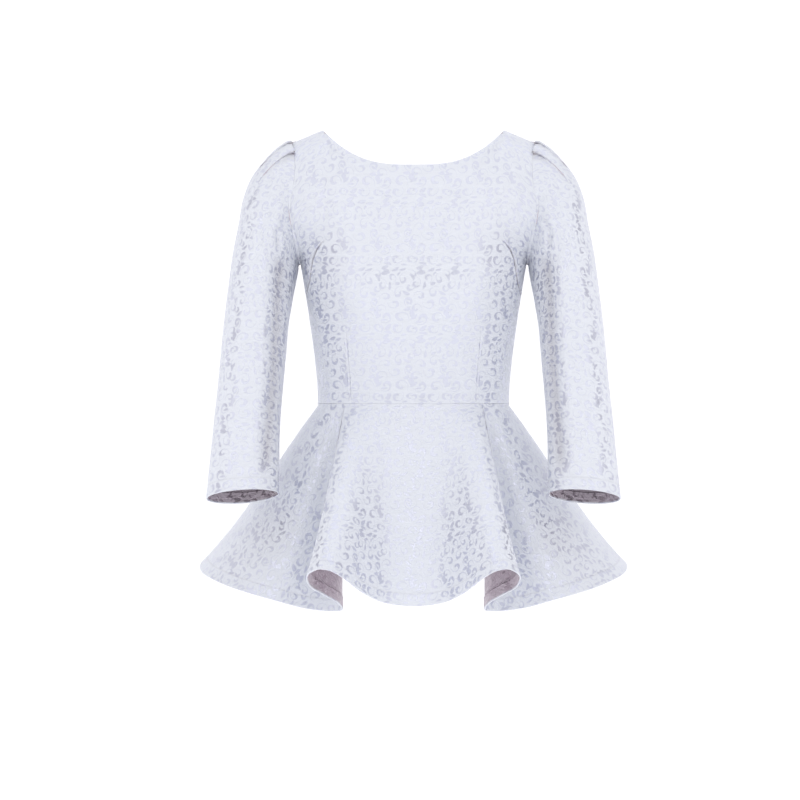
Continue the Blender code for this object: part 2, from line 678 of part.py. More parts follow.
def main():
    for old in list(bpy.data.objects):
        bpy.data.objects.remove(old, do_unlink=True)
    collection = bpy.data.collections.new("peplum_top")
    bpy.context.scene.collection.children.link(collection)
    helpers = bpy.data.collections.new("cutters")
    bpy.context.scene.collection.children.link(helpers)
    garment = bpy.data.objects.new("garment", None)
    collection.objects.link(garment)

    ivory = (0.78, 0.80, 0.89)
    front = place(collection, "front_bodice", sheet_mesh("front_bodice", bodice_grid(-1)),
                  material("front_bodice", ivory, 0.55), garment)
    mirror_across(front)
    thicken(front, CLOTH)

    slider_z = height(SLIDER_DROP)
    for name, mirrored in (("left", False), ("right", True)):
        back_grid = bodice_grid(1)
        open_at_centre_back(back_grid, slider_z)
        back_name = "back_bodice_" + name
        back = place(collection, back_name, sheet_mesh(back_name, back_grid, mirrored),
                     material(back_name, ivory, 0.55), garment)
        thicken(back, CLOTH)

        sleeve_name = "sleeve_" + name
        sleeve = place(collection, sleeve_name, sheet_mesh(sleeve_name, sleeve_grid(), mirrored, True),
                       material(sleeve_name, ivory, 0.55), garment)
        thicken(sleeve, CLOTH)

        tail_grid = peplum_grid(90.0, 180.0, BACK_HEM_COLUMNS)
        for row in tail_grid:
            row[-1].x = SEAM / 2
        tail_name = "peplum_back_" + name
        tail = place(collection, tail_name, sheet_mesh(tail_name, tail_grid, mirrored),
                     material(tail_name, ivory, 0.55), garment)
        thicken(tail, CLOTH)

    zip_look = (0.80, 0.81, 0.88)
    tape = place(collection, "zip_tape", sheet_mesh("zip_tape", zip_grid()),
                 material("zip_tape", zip_look, 0.6), garment)
    thicken(tape, ZIP_TAPE)
    holder = bpy.data.objects.new("slider_place", None)
    hinge = bpy.data.objects.new("pull_hinge", None)
    for empty in (holder, hinge):
        collection.objects.link(empty)
        empty.parent = garment
    holder.matrix_world = slider_frame()
    pin_out = CLOTH / 2 + TOUCH + SLIDER_CROWN + PIN_ABOVE_CROWN
    hinge.matrix_world = slider_frame() @ Matrix.Translation((0, pin_out, PIN_UP))
    build_slider(collection, helpers, material("zip_slider", zip_look, 0.3), holder)
    build_pull(collection, helpers, material("zip_pull", zip_look, 0.3), hinge)

    peplum = place(collection, "peplum_front",
                   sheet_mesh("peplum_front", peplum_grid(0.0, 90.0, FRONT_HEM_COLUMNS)),
                   material("peplum_front", ivory, 0.55), garment)
    mirror_across(peplum)
    thicken(peplum, CLOTH)


main()
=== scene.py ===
import math

import bmesh
import bpy
import numpy as np
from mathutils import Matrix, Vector


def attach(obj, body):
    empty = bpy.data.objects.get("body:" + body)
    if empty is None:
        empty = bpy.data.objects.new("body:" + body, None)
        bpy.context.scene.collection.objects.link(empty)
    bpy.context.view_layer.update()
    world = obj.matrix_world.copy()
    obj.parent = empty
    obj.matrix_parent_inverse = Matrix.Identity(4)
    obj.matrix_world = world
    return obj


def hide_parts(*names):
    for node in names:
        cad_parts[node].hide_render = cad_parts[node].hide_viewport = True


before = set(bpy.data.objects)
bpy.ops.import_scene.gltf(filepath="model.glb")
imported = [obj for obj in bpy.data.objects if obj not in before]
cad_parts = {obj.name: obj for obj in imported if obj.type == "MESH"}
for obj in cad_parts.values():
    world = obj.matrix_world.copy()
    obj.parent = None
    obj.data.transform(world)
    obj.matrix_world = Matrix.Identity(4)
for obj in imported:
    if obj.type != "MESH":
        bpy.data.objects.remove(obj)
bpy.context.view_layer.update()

# A fitted peplum top in figured jacquard, filled as it is worn, with nobody in it.
# Metres: the front faces -Y, the wearer's left is +X, and a drop is measured down from the neck points.


def table(names, *rows):
    return dict(zip(names.split(), (np.array(column, float) for column in zip(*rows))))


def curve(values, name, at):
    # A cubic through one column of a table
    keys = next(iter(values.values()))
    heights = values[name]
    slopes = np.gradient(heights, keys)
    at = np.asarray(at, float)
    i = np.clip(np.searchsorted(keys, at) - 1, 0, len(keys) - 2)
    width = keys[i + 1] - keys[i]
    t = np.clip((at - keys[i]) / width, 0, 1)
    rise = heights[i + 1] - heights[i]
    a = slopes[i] * width - rise
    b = rise - slopes[i + 1] * width
    return heights[i] + rise * t + t * (1 - t) * (a * (1 - t) + b * t)


def unit(vectors):
    return vectors / np.maximum(np.linalg.norm(vectors, axis=-1, keepdims=True), 1e-9)


def bell(x):
    return np.exp(-x * x)


# The body of the garment

body = {
    "neckAboveOrigin": 0.0075,
    "neckHalf": 0.135,
    "shoulderHalf": 0.1795,
    "shoulderDrop": 0.019,
    "shoulderRound": 0.14,
    "shoulderPower": 0.62,
    "frontNeck": (0.0580, 2.8),      # depth at the centre, squareness of the curve
    "backNeck": (0.085, 2.3),
    "underarmDrop": 0.196,
    "armholeReach": (0.060, 0.054),  # to the front and to the back of the shoulder seam
    "armholePower": 0.95,
    "bust": (0.090, 0.212, 0.011, 0.045, 0.055),  # apart, drop, out, wide, tall
    "waistDrop": 0.403,
    "neckShare": 0.62,               # share of a panel's width that lies under the neckline
    "armholeBlend": 1.6,             # how late the shoulder's shape takes over up the armhole
    "centreRise": 1.5,               # how early the rows lift at the centre
    "seamGap": 0.0003,
    "shoulderGap": 0.0006,
}
torso = table(
    "drop   side    front   back    square",
    (0.000, 0.1795, 0.0900, 0.0840, 2.2),
    (0.050, 0.1780, 0.0930, 0.0880, 2.2),
    (0.100, 0.1780, 0.0980, 0.0930, 2.2),
    (0.150, 0.1760, 0.1060, 0.0970, 2.2),
    (0.196, 0.1665, 0.1150, 0.0990, 2.2),
    (0.234, 0.1600, 0.1160, 0.0975, 2.2),
    (0.286, 0.1520, 0.1080, 0.0930, 2.15),
    (0.339, 0.1450, 0.0970, 0.0860, 2.1),
    (0.379, 0.1412, 0.0900, 0.0810, 2.1),
    (0.403, 0.1405, 0.0880, 0.0800, 2.1),
)
armhole = table(
    "drop   out",
    (0.019, 0.1795),
    (0.040, 0.1745),
    (0.070, 0.1735),
    (0.095, 0.1765),
    (0.114, 0.1790),
    (0.136, 0.1770),
    (0.161, 0.1715),
    (0.180, 0.1675),
    (0.196, 0.1665),
)


def height(drop):
    return body["neckAboveOrigin"] - drop


def ridgeDrop(out):
    return body["shoulderDrop"] * (out - body["neckHalf"]) / (body["shoulderHalf"] - body["neckHalf"])


def shoulderRounding(out, drop):
    t = np.clip((drop - ridgeDrop(out)) / body["shoulderRound"], 0, 1)
    return (1 - (1 - t) ** 2) ** body["shoulderPower"]


def torsoBack(side, out, drop, reach, power):
    # Y of the torso's surface: in front where side is -1, behind where it is 1
    full = curve(torso, "front" if side < 0 else "back", drop) * shoulderRounding(out, drop)
    share = np.clip(1 - np.minimum(out / reach, 1) ** power, 0, None) ** (1 / power)
    apart, low, forward, wide, tall = body["bust"]
    bust = forward * bell((out - apart) / wide) * bell((drop - low) / tall) * share
    return side * (full * share + (bust if side < 0 else 0))


def armholeEdge(side, turn):
    # turn runs from 0 at the underarm to 1 at the shoulder seam
    low, high = body["underarmDrop"], body["shoulderDrop"]
    drop = (low + high) / 2 + (low - high) / 2 * np.cos(np.pi * turn)
    deep = body["armholeReach"][0 if side < 0 else 1]
    back = side * deep * np.clip(np.sin(np.pi * turn), 0, None) ** body["armholePower"]
    return curve(armhole, "out", drop), back, drop


def neckline(side, out):
    deep, power = body["frontNeck"] if side < 0 else body["backNeck"]
    inside = deep * (1 - np.minimum(out / body["neckHalf"], 1) ** power)
    return np.where(out >= body["neckHalf"], ridgeDrop(out), inside)


def underArmholes(side, u, drop):
    power = curve(torso, "square", drop)
    reach = curve(torso, "side", drop)
    out = reach * np.sin(u * np.pi / 2) ** (2 / power)
    return np.stack((out, torsoBack(side, out, drop, reach, power), height(drop) + 0 * out), axis=-1)


def besideArmholes(side, u, turn):
    edgeOut, edgeBack, edgeDrop = armholeEdge(side, turn)
    power = curve(torso, "square", edgeDrop)
    full = curve(torso, "front" if side < 0 else "back", edgeDrop)
    full = full * np.maximum(shoulderRounding(edgeOut, edgeDrop), 0.001)
    share = np.minimum(np.abs(edgeBack) / full, 0.97)
    reach = edgeOut / (1 - share ** power) ** (1 / power)
    edgeAngle = np.arcsin(np.minimum(edgeOut / reach, 1) ** (power / 2))
    onSection = reach * np.sin(u * edgeAngle) ** (2 / power)
    neckShare, neckHalf = body["neckShare"], body["neckHalf"]
    beyond = neckHalf + (body["shoulderHalf"] - neckHalf) * (u - neckShare) / (1 - neckShare)
    onTop = np.where(u < neckShare, neckHalf * u / neckShare, beyond)
    blend = turn ** body["armholeBlend"]
    out = onSection * (1 - blend) + onTop * edgeOut / body["shoulderHalf"] * blend
    atEdge = (1 - np.cos(np.pi * turn)) / 2
    atCentre = 1 - (1 - turn) ** body["centreRise"]
    rise = atCentre + (atEdge - atCentre) * u ** 2
    drop = body["underarmDrop"] + (neckline(side, onTop) - body["underarmDrop"]) * rise
    back = torsoBack(side, out, drop, np.maximum(reach, out), power)
    atArmhole = u >= 1
    out = np.where(atArmhole, edgeOut, out)
    back = np.where(atArmhole, edgeBack, back)
    drop = np.where(atArmhole, edgeDrop, drop)
    return np.stack((out, back, height(drop)), axis=-1)


# Cloth as grids of points, with the place of each point on the flat cut

def normalsOf(points, closed=False):
    up = np.gradient(points, axis=0)
    if closed:
        across = np.roll(points, -1, axis=1) - np.roll(points, 1, axis=1)
        across[:, 0] = across[:, -1] = points[:, 1] - points[:, -2]
    else:
        across = np.gradient(points, axis=1)
    return unit(np.cross(across, up))


def along(points, axis):
    # Running length along the grid's rows or columns
    steps = np.linalg.norm(np.diff(points, axis=axis), axis=-1)
    start = np.zeros_like(np.take(steps, [0], axis))
    return np.concatenate((start, np.cumsum(steps, axis=axis)), axis=axis)


def mirrored(grid):
    return {"points": grid["points"][:, ::-1] * (-1, 1, 1), "cut": grid["cut"][:, ::-1] * (-1, 1),
            "turned": grid["turned"][:, ::-1], "shade": grid["shade"][:, ::-1]}


def bothHalves(grid):
    other = mirrored(grid)
    return {name: np.concatenate((other[name][:, :-1], grid[name]), axis=1) for name in grid}


def faced(grid, edge):
    # The same grid with the edge as its last row
    turns = {"top": lambda a: a, "bottom": lambda a: a[::-1],
             "right": lambda a: np.swapaxes(a, 0, 1), "left": lambda a: np.swapaxes(a, 0, 1)[::-1]}
    return {name: turns[edge](values) for name, values in grid.items()}


def unfaced(grid, edge):
    turns = {"top": lambda a: a, "bottom": lambda a: a[::-1],
             "right": lambda a: np.swapaxes(a, 0, 1), "left": lambda a: np.swapaxes(a[::-1], 0, 1)}
    return {name: turns[edge](values) for name, values in grid.items()}


edges = {
    "seamRoll": 0.00035,       # radius at which cloth turns into a seam
    "armholeRoll": 0.0002,
    "flatRoll": 0.00010,       # the same at the waist, which is pressed flat
    "seamTurn": 0.0042,        # allowance that stands inwards
    "zipTurn": 0.0017,         # the same beside the zip
    "hemRoll": 0.0010,
    "hemTurn": 0.017,          # allowance folded up inside a hem
    "neckTurn": 0.010,
    "hemRows": 9,
    "markWidth": 0.0012,       # the groove over the hem's upper edge
    "markDeep": 0.00035,
    # painted shade in the groove over the hem's upper edge
    "markShade": 0.10,
}


def seamRows(last, outward, normal, roll, deep):
    # A quarter turn round the edge and then straight inwards
    rows = []
    for step in range(1, 4):
        a = step * np.pi / 6
        rows.append(last + outward * roll * (np.sin(a) - 1) - normal * roll * (1 - np.cos(a)))
    for share in (0.35, 0.7, 1.0):
        rows.append(last - normal * (roll + (deep - roll) * share))
    return rows


def hemRows(points, normals, outward, start, turn):
    # Half a turn round the edge and then back up behind the cloth
    roll = edges["hemRoll"]
    rows = []
    for step in range(1, 7):
        a = step * np.pi / 6
        rows.append(start + outward * roll * np.sin(a) - normals[-1] * roll * (1 - np.cos(a)))
    lengths = along(points[::-1], 0)
    inner = (points - normals * 2 * roll)[::-1]
    for distance in np.linspace(0, turn, edges["hemRows"] + 1)[1:]:
        row = np.empty_like(start)
        for column in range(len(row)):
            steps = lengths[:, column]
            i = int(np.searchsorted(steps, distance)) or 1
            t = (distance - steps[i - 1]) / max(steps[i] - steps[i - 1], 1e-9)
            row[column] = inner[i - 1, column] * (1 - t) + inner[i, column] * t
        rows.append(row)
    return rows


def turnIn(grid, edge, hemShare=0.0, closed=False, seamTurn=None, seamRoll=None, hemTurn=None):
    # Turns an edge into a seam, or rolls it up inside as a hem where hemShare is 1
    grid = faced(dict(grid, normals=normalsOf(grid["points"], closed)), edge)
    points, cut, normals = grid["points"], grid["cut"], grid["normals"]
    last, normal = points[-1], normals[-1]
    outward = last - points[-2]
    room = np.linalg.norm(outward, axis=-1, keepdims=True)
    outward = unit(outward - normal * np.sum(outward * normal, axis=-1, keepdims=True))
    cutOut = unit(cut[-1] - cut[-2])
    roll = np.minimum(seamRoll or edges["seamRoll"], 0.4 * room)
    rows = seamRows(last, outward, normal, roll, seamTurn or edges["seamTurn"])
    weight = np.broadcast_to(np.asarray(hemShare, float), last.shape[:1])[:, None]
    hemRoom = min(edges["hemRoll"], 0.4 * float(room.min()))
    if weight.max() > 0:
        hems = hemRows(points, normals, outward, last - outward * hemRoom, hemTurn or edges["hemTurn"])
        while len(rows) < len(hems):
            rows.append(rows[-1] - normal * 0.0002)
        rows = [seam * (1 - weight) + hem * weight for seam, hem in zip(rows, hems)]
    newLast = last - outward * roll * (1 - weight) - outward * hemRoom * weight
    points = np.concatenate((points[:-1], newLast[None], np.array(rows)))
    lengths = np.linalg.norm(np.diff(np.array([newLast] + rows), axis=0), axis=-1)
    newCut = cut[-1] + cutOut * np.cumsum(lengths, axis=0)[:, :, None]
    nothing = np.zeros((len(rows), len(last)))
    levels = np.where(np.arange(len(rows)) < 6, 1.0, 2.0)[:, None]
    made = {"points": points, "cut": np.concatenate((cut, newCut)),
            "turned": np.concatenate((grid["turned"], nothing + levels)),
            "shade": np.concatenate((grid["shade"], nothing + grid["shade"][-1]))}
    return unfaced(made, edge)


def linesOverHem(mark, top):
    # Distances from a folded edge at which rows of the grid lie, the uppermost first
    return [top, mark + 0.0022, mark + 0.0009, mark, mark - 0.0009, mark - 0.0022,
            0.0130, 0.0100, 0.0068, 0.0038, 0.0015, 0.0]


cloth = {
    "solid": 0.0016,           # wall of the CAD solids
    "wall": 0.0011,            # wall of the cloth
}


def clothGrid(points, cut, shade=None, closed=False):
    # The outer face of a wall whose middle is given
    nothing = np.zeros(points.shape[:2])
    return {"points": points + normalsOf(points, closed) * cloth["solid"] / 2, "cut": cut,
            "turned": nothing, "shade": nothing if shade is None else shade}


def feltHem(grid, edge, mark):
    # The upper edge of a folded hem, faintly felt from outside as a shallow groove with painted shade in it
    normals = normalsOf(grid["points"])
    view = faced(dict(grid, normals=normals), edge)
    fromEdge = along(view["points"][::-1], 0)[::-1]
    step = bell((fromEdge - mark) / edges["markWidth"])
    view["points"] = view["points"] - view["normals"] * (step * edges["markDeep"])[..., None]
    view["shade"] = np.maximum(view["shade"], step * edges["markShade"])
    del view["normals"]
    return unfaced(view, edge)


panel = {"columns": 74, "lowerRows": 66, "upperRows": 62}


def bodicePanel(side):
    # Half of the front or back bodice, from the waist up and from the centre out
    gap = body["seamGap"]
    u = np.concatenate((np.linspace(0, 1, panel["columns"])[:-1], (0.994, 1.0)))
    u = np.unique(np.concatenate((u, (body["neckShare"],))))
    bottom = body["waistDrop"] - gap / 2
    drops = np.linspace(bottom - 0.003, body["underarmDrop"], panel["lowerRows"])
    drops = np.concatenate(((bottom, bottom - 0.0015), drops))
    turns = np.linspace(0, 1, panel["upperRows"])[1:]
    lower = underArmholes(side, u[None, :], drops[:, None])
    lower[:, -1, 1] = side * gap / 2
    upper = besideArmholes(side, *np.meshgrid(u, turns))
    points = np.concatenate((lower, upper))
    ridge = u >= body["neckShare"] - 1e-6
    points[-1, ridge, 1] = side * body["shoulderGap"] / 2
    flat = points * (1, 1, 0)
    down = points * (0, 1, 1)
    cut = np.stack((along(flat, 1), along(down, 0)), axis=-1)
    return points, cut, u


# Peplum

peplum = {
    "length": 0.302,
    "collar": 0.0035,
    "hollow": 0.07,
    "fall": 0.06,
    "sway": 0.16,
    "cell": 0.0047,
    "turnCell": math.radians(7),
    "foldThreads": (45.6, 124.0),  # where the flutes turn back out of sight
    "foldWide": 1.1,
    # painted shadow along the flutes' fold edges, where the cloth turns back
    "foldShade": 0.55,
    "hemMark": 0.0175,             # the folded hem's upper edge, faintly felt through the cloth
    "rowStep": 0.0042,
}
hem = table(
    "thread waist   out     back",
    (-12.0, -12.0, -0.043, -0.205),
    (0.0, 0.0, 0.000, -0.191),
    (12.0, 12.0, 0.043, -0.205),
    (21.0, 21.0, 0.073, -0.234),
    (28.0, 28.0, 0.096, -0.2585),
    (34.0, 34.0, 0.117, -0.2675),
    (39.0, 40.3, 0.136, -0.2605),
    (43.5, 43.6, 0.149, -0.2385),
    (46.5, 44.5, 0.143, -0.217),
    (49.0, 45.2, 0.124, -0.198),
    (51.0, 45.9, 0.107, -0.170),
    (52.5, 46.5, 0.102, -0.135),
    (55.0, 48.2, 0.113, -0.106),
    (59.0, 52.3, 0.150, -0.106),
    (63.0, 57.5, 0.190, -0.124),
    (68.0, 64.0, 0.232, -0.116),
    (73.0, 70.3, 0.268, -0.090),
    (79.0, 77.3, 0.299, -0.054),
    (85.0, 84.2, 0.315, 0.000),
    (90.0, 90.0, 0.3175, 0.052),
    (96.0, 96.0, 0.303, 0.098),
    (103.0, 103.0, 0.272, 0.134),
    (110.0, 110.0, 0.229, 0.157),
    (116.0, 116.0, 0.186, 0.151),
    (120.0, 120.0, 0.158, 0.124),
    (123.0, 123.0, 0.137, 0.128),
    (126.5, 126.5, 0.134, 0.170),
    (131.0, 131.0, 0.137, 0.219),
    (138.0, 138.0, 0.121, 0.258),
    (147.0, 147.0, 0.091, 0.272),
    (157.0, 157.0, 0.056, 0.240),
    (168.0, 168.0, 0.026, 0.200),
    (180.0, 180.0, 0.000, 0.186),
    (192.0, 192.0, -0.026, 0.200),
)


def waistPoint(angle):
    power = float(curve(torso, "square", body["waistDrop"]))
    reach = float(curve(torso, "side", body["waistDrop"]))
    front = float(curve(torso, "front", body["waistDrop"]))
    back = float(curve(torso, "back", body["waistDrop"]))
    turn = np.radians(angle)
    s, c = np.sin(turn), np.cos(turn)
    out = reach * np.sign(s) * np.abs(s) ** (2 / power)
    deep = np.where(angle < 90, front, back)
    behind = -deep * np.sign(c) * np.abs(c) ** (2 / power)
    return np.stack((out, behind, 0 * out + height(body["waistDrop"] + body["seamGap"] / 2)), axis=-1)


def peplumPoints(threads, shares):
    # threads run round the garment, and shares from the waist seam down to the hem
    waist = waistPoint(curve(hem, "waist", threads))[None]
    edge = np.stack((curve(hem, "out", threads), curve(hem, "back", threads)), axis=-1)[None]
    reach = edge - waist[..., :2]
    fall = np.sqrt(peplum["length"] ** 2 - np.sum(reach ** 2, axis=-1)) - peplum["collar"]
    share = shares[:, None]
    middle = share * (1 - share)
    across = share + middle * (peplum["sway"] * (1 - 2 * share) - peplum["hollow"])
    down = share + peplum["fall"] * middle
    points = np.empty((len(shares), len(threads), 3))
    points[..., :2] = waist[..., :2] + reach * across[..., None]
    points[..., 2] = waist[..., 2] - peplum["collar"] - fall * down
    return np.concatenate((waist, points))


def peplumThreads(first, last):
    fine = np.linspace(first, last, 1441)
    edge = peplumPoints(fine, np.array([1.0]))[-1]
    steps = np.diff(edge, axis=0)
    lengths = np.linalg.norm(steps, axis=1)
    heading = np.unwrap(np.arctan2(steps[:, 1], steps[:, 0]))
    turns = np.abs(np.append(np.diff(heading), 0))
    measure = np.concatenate(([0], np.cumsum(lengths / peplum["cell"] + turns / peplum["turnCell"])))
    return np.interp(np.linspace(0, measure[-1], int(measure[-1])), measure, fine)


def peplumPanel(first, last):
    # Columns start at the side seam or the centre front, rows at the waist
    threads = peplumThreads(first, last)
    upper = list(np.arange(0.0264, peplum["length"] - 0.003, peplum["rowStep"]))
    fromHem = upper[::-1] + linesOverHem(peplum["hemMark"], 0.0228)
    shares = 1 - np.array(fromHem) / peplum["length"]
    shares = np.concatenate(([0.0], shares[shares > 0.004]))
    points = peplumPoints(threads, shares)
    side = np.abs(threads - 90) < 0.001
    points[:, side, 1] += math.copysign(body["seamGap"] / 2, (first + last) / 2 - 90)
    cut = flatPeplum(points if first == 0 else points[:, ::-1])
    shade = np.zeros(points.shape[:2])
    down = np.concatenate(([0.0], shares))[:, None]
    # a painted shadow line along each flute's fold edge, fading in under the waist and out above the hem
    for thread in peplum["foldThreads"]:
        fade = np.clip(down / 0.05, 0, 1) * np.clip((1 - down) / 0.15, 0, 1)
        dark = bell((threads - thread) / peplum["foldWide"]) * peplum["foldShade"]
        shade = np.maximum(shade, dark * fade)
    return points[::-1], (cut if first == 0 else cut[:, ::-1])[::-1], shade[::-1]


def flatPeplum(points):
    # Unrolls the peplum from its centre line outwards: straight threads of one length, side by side
    waistStep = np.linalg.norm(np.diff(points[0], axis=0), axis=-1)
    hemStep = np.linalg.norm(np.diff(points[-1], axis=0), axis=-1)
    length = along(points, 0)
    turn = np.concatenate(([0], np.cumsum((hemStep - waistStep) / length[-1, 1:])))
    middle = (turn[1:] + turn[:-1]) / 2
    x = np.concatenate(([0], np.cumsum(waistStep * np.cos(middle))))
    y = np.concatenate(([0], np.cumsum(waistStep * np.sin(middle))))
    return np.stack((x + length * np.sin(turn), y - length * np.cos(turn)), axis=-1)


# Sleeves

sleeve = {
    "folds": (16.5, 38.5),     # pleats, in degrees round the armhole from the shoulder seam
    "foldOut": 0.0056,
    "foldStep": 2.4,
    "foldRings": 3.8,
    "foldFade": 1.25,
    "foldRoot": 0.35,
    "overhang": 3.0,           # degrees by which a fold's edge reaches over the cloth under it
    "clear": 0.00012,
    "clearLean": 0.0004,       # more where the bodice faces the sleeve
    "start": 0.003,
    "settled": 4.0,
    "cell": 0.0032,
    "cuffMark": 0.0175,
    "shade": 0.75,             # painted shade in the pleats' folds
    # painted shadow beside each fold
    "softShade": 0.18,
    "shadeRings": (1.5, 2.8),  # how far both reach down the sleeve
}
arm = table(
    "ring   top     top_drop under  under_drop back    deep   tilt",
    (0.0, 0.1795, 0.0190, 0.1665, 0.1960, 0.0000, 0.0570, 0.0),
    (1.0, 0.1915, 0.0215, 0.1710, 0.1990, 0.0000, 0.0600, 0.0),
    (2.0, 0.2105, 0.0365, 0.1720, 0.2050, -0.0030, 0.0640, 1.0),
    (3.0, 0.2360, 0.0680, 0.1735, 0.2150, -0.0080, 0.0680, 2.0),
    (4.0, 0.2500, 0.1020, 0.1755, 0.2280, -0.0140, 0.0690, 3.0),
    (5.0, 0.2565, 0.1420, 0.1780, 0.2435, -0.0220, 0.0680, 5.0),
    (6.0, 0.2640, 0.1830, 0.1805, 0.2630, -0.0310, 0.0660, 7.0),
    (7.0, 0.2705, 0.2365, 0.1840, 0.2910, -0.0430, 0.0620, 9.0),
    (8.0, 0.2770, 0.3000, 0.1870, 0.3355, -0.0580, 0.0570, 11.0),
    (9.0, 0.2830, 0.3790, 0.1910, 0.3895, -0.0790, 0.0500, 13.0),
    (10.0, 0.2880, 0.4350, 0.1935, 0.4350, -0.0960, 0.0450, 15.0),
    (11.0, 0.2915, 0.4830, 0.1940, 0.4800, -0.1130, 0.0410, 16.0),
    (12.0, 0.2960, 0.5390, 0.1930, 0.5315, -0.1330, 0.0385, 17.0),
)


def armRing(ring, angle):
    # A plain oval round the arm: angle is 0 at the top, 90 in front and 180 at the underarm
    ring, angle = np.broadcast_arrays(ring, angle)
    nothing = 0 * ring
    top = np.stack((curve(arm, "top", ring), nothing, height(curve(arm, "top_drop", ring))), axis=-1)
    under = np.stack((curve(arm, "under", ring), nothing, height(curve(arm, "under_drop", ring))), axis=-1)
    tilt = np.radians(curve(arm, "tilt", ring))
    deep = curve(arm, "deep", ring)
    forward = np.stack((nothing, -np.cos(tilt) * deep, np.sin(tilt) * deep), axis=-1)
    turn = np.radians(angle)[..., None]
    middle = (top + under) / 2 + np.stack((nothing, curve(arm, "back", ring), nothing), axis=-1)
    return middle, (top - under) / 2 * np.cos(turn) + forward * np.sin(turn)


def armholePoint(angle):
    front = angle < 180
    turn = 1 - np.where(front, angle, 360 - angle) / 180
    pair = [np.stack(armholeEdge(side, turn), axis=-1) for side in (-1, 1)]
    point = np.where(front[..., None], pair[0], pair[1])
    point[..., 2] = height(point[..., 2])
    return point


def armholeLean(angle):
    # How far the bodice beside the armhole faces outwards
    front = angle < 180
    turn = np.clip(1 - np.where(front, angle, 360 - angle) / 180, 0.02, 0.98)
    found = []
    for side in (-1, 1):
        near = besideArmholes(side, 0.985 + 0 * turn, turn)
        ahead = besideArmholes(side, 0.985 + 0 * turn, turn + 0.015)
        beside = besideArmholes(side, 0.999 + 0 * turn, turn)
        found.append(np.abs(unit(np.cross(beside - near, ahead - near))[..., 0]))
    return np.where(front, found[0], found[1])


def pleat(angle, ring):
    # Height of the knife pleats over the sleeve and the angle by which their edges lean over
    away = np.where(angle < 180, angle, 360 - angle)
    openOut = np.clip(1 - ring / sleeve["foldRings"], 0, None) ** sleeve["foldFade"]
    half = sleeve["foldStep"] / 2
    root = sleeve["foldRoot"]
    heights = np.zeros_like(away + openOut)
    lean = np.zeros_like(heights)
    start = 0.0
    for fold in sleeve["folds"]:
        climbing = (away >= start) & (away <= fold - half)
        falling = (away > fold - half) & (away < fold + half)
        climb = (away - start) / (fold - half - start)
        heights = np.where(climbing, root + (1 - root) * climb, heights)
        heights = np.where(falling, (fold + half - away) / (2 * half), heights)
        over = bell((away - fold + half) / 1.1) - 0.75 * bell((away - fold - half * 0.8) / 1.0)
        lean += over * sleeve["overhang"] * openOut
        start = fold + half
    return heights * sleeve["foldOut"] * openOut, lean * np.where(angle < 180, 1, -1)


def sleeveSeam(angle, out):
    lift, lean = pleat(angle, 0.0 * angle)
    angle = angle + lean * 0.6
    spoke = unit(armRing(0.0 * angle, angle)[1])
    point = armholePoint(angle) + spoke * lift[..., None]
    point[..., 0] += sleeve["clear"] + sleeve["clearLean"] * armholeLean(angle) + out
    return point


def sleeveAt(ring, angle):
    lift, lean = pleat(angle, ring)
    angle = angle + lean
    middle, spoke = armRing(ring, angle)
    fade = np.clip(1 - ring / sleeve["settled"], 0, None) ** 2
    firstMiddle, firstSpoke = armRing(0.0 * ring, angle)
    offOval = armholePoint(angle) - firstMiddle - firstSpoke
    return middle + spoke + offOval * fade[..., None] + unit(spoke) * lift[..., None]


def sleeveAngles():
    # From the top to the underarm, closer together at the pleats
    found = [0.0, 3.2, 6.4, 9.2, 11.2, 12.8, 20.2, 22.4, 25.4, 28.6, 31.6, 34.0, 41.4, 43.6]
    for fold in sleeve["folds"]:
        found += list(fold + np.arange(-1.9, 2.1, 0.38))
    found += list(np.arange(46.4, 179.0, 3.1))
    return np.unique(np.round(found + [180.0], 3))


def sleevePanel():
    # Columns go round from the underarm seam by the back, the top and the front; rows from armhole to cuff
    half = sleeveAngles()
    order = np.concatenate((360 - half[::-1], half[1:]))
    fine = np.linspace(0.9, 12, 600)
    lengths = along(sleeveAt(fine[:, None], np.array([[60.0, 120.0, 300.0, 240.0]])), 0).mean(axis=1)
    total = lengths[-1]
    wanted = np.linspace(0, total - 0.026, int(total / sleeve["cell"]))
    overHem = total - np.array(linesOverHem(sleeve["cuffMark"], 0.0232))
    rings = np.interp(np.concatenate((wanted, overHem)), lengths, fine)
    seam = [sleeveSeam(order, out) for out in (0.0, 0.0014, sleeve["start"])]
    rest = sleeveAt(rings[:, None], order[None, :] + 0 * rings[:, None])
    p0, p1, p2, p3 = seam[1], seam[2], rest[0], rest[3]
    span = np.linalg.norm(p2 - p1, axis=-1, keepdims=True)
    startSlope, endSlope = unit(p1 - p0) * span, unit(p3 - p2) * span
    between = []
    for t in (0.25, 0.5, 0.75):
        between.append((2 * t ** 3 - 3 * t ** 2 + 1) * p1 + (t ** 3 - 2 * t ** 2 + t) * startSlope
                       + (3 * t ** 2 - 2 * t ** 3) * p2 + (t ** 3 - t ** 2) * endSlope)
    points = np.concatenate((np.array(seam), np.array(between), rest))
    across, length = along(points, 1), along(points, 0)
    top = len(half) - 1
    cut = np.stack((across - across[:, top:top + 1], length[-1:] - length), axis=-1)
    return points, cut, sleeveShade(order, np.concatenate((np.linspace(0, 0.9, 6), rings)))


def sleeveShade(order, rings):
    # Painted shade: dark lines in the pleats' folds with a softer painted shadow beside them
    away = np.where(order > 180, 360 - order, order)[None]
    shade = np.zeros((len(rings), len(order)))
    for fold in sleeve["folds"]:
        crisp, soft = (np.clip(1 - rings[:, None] / reach, 0, 1) ** 0.8 for reach in sleeve["shadeRings"])
        beside = np.clip(1 - np.abs(away - fold - 5) / 6, 0, 1)
        shade = np.maximum(shade, bell((away - fold - 0.4) / 1.5) * crisp * sleeve["shade"])
        shade = np.maximum(shade, beside * soft * sleeve["softShade"])
    return shade


# Making the pieces

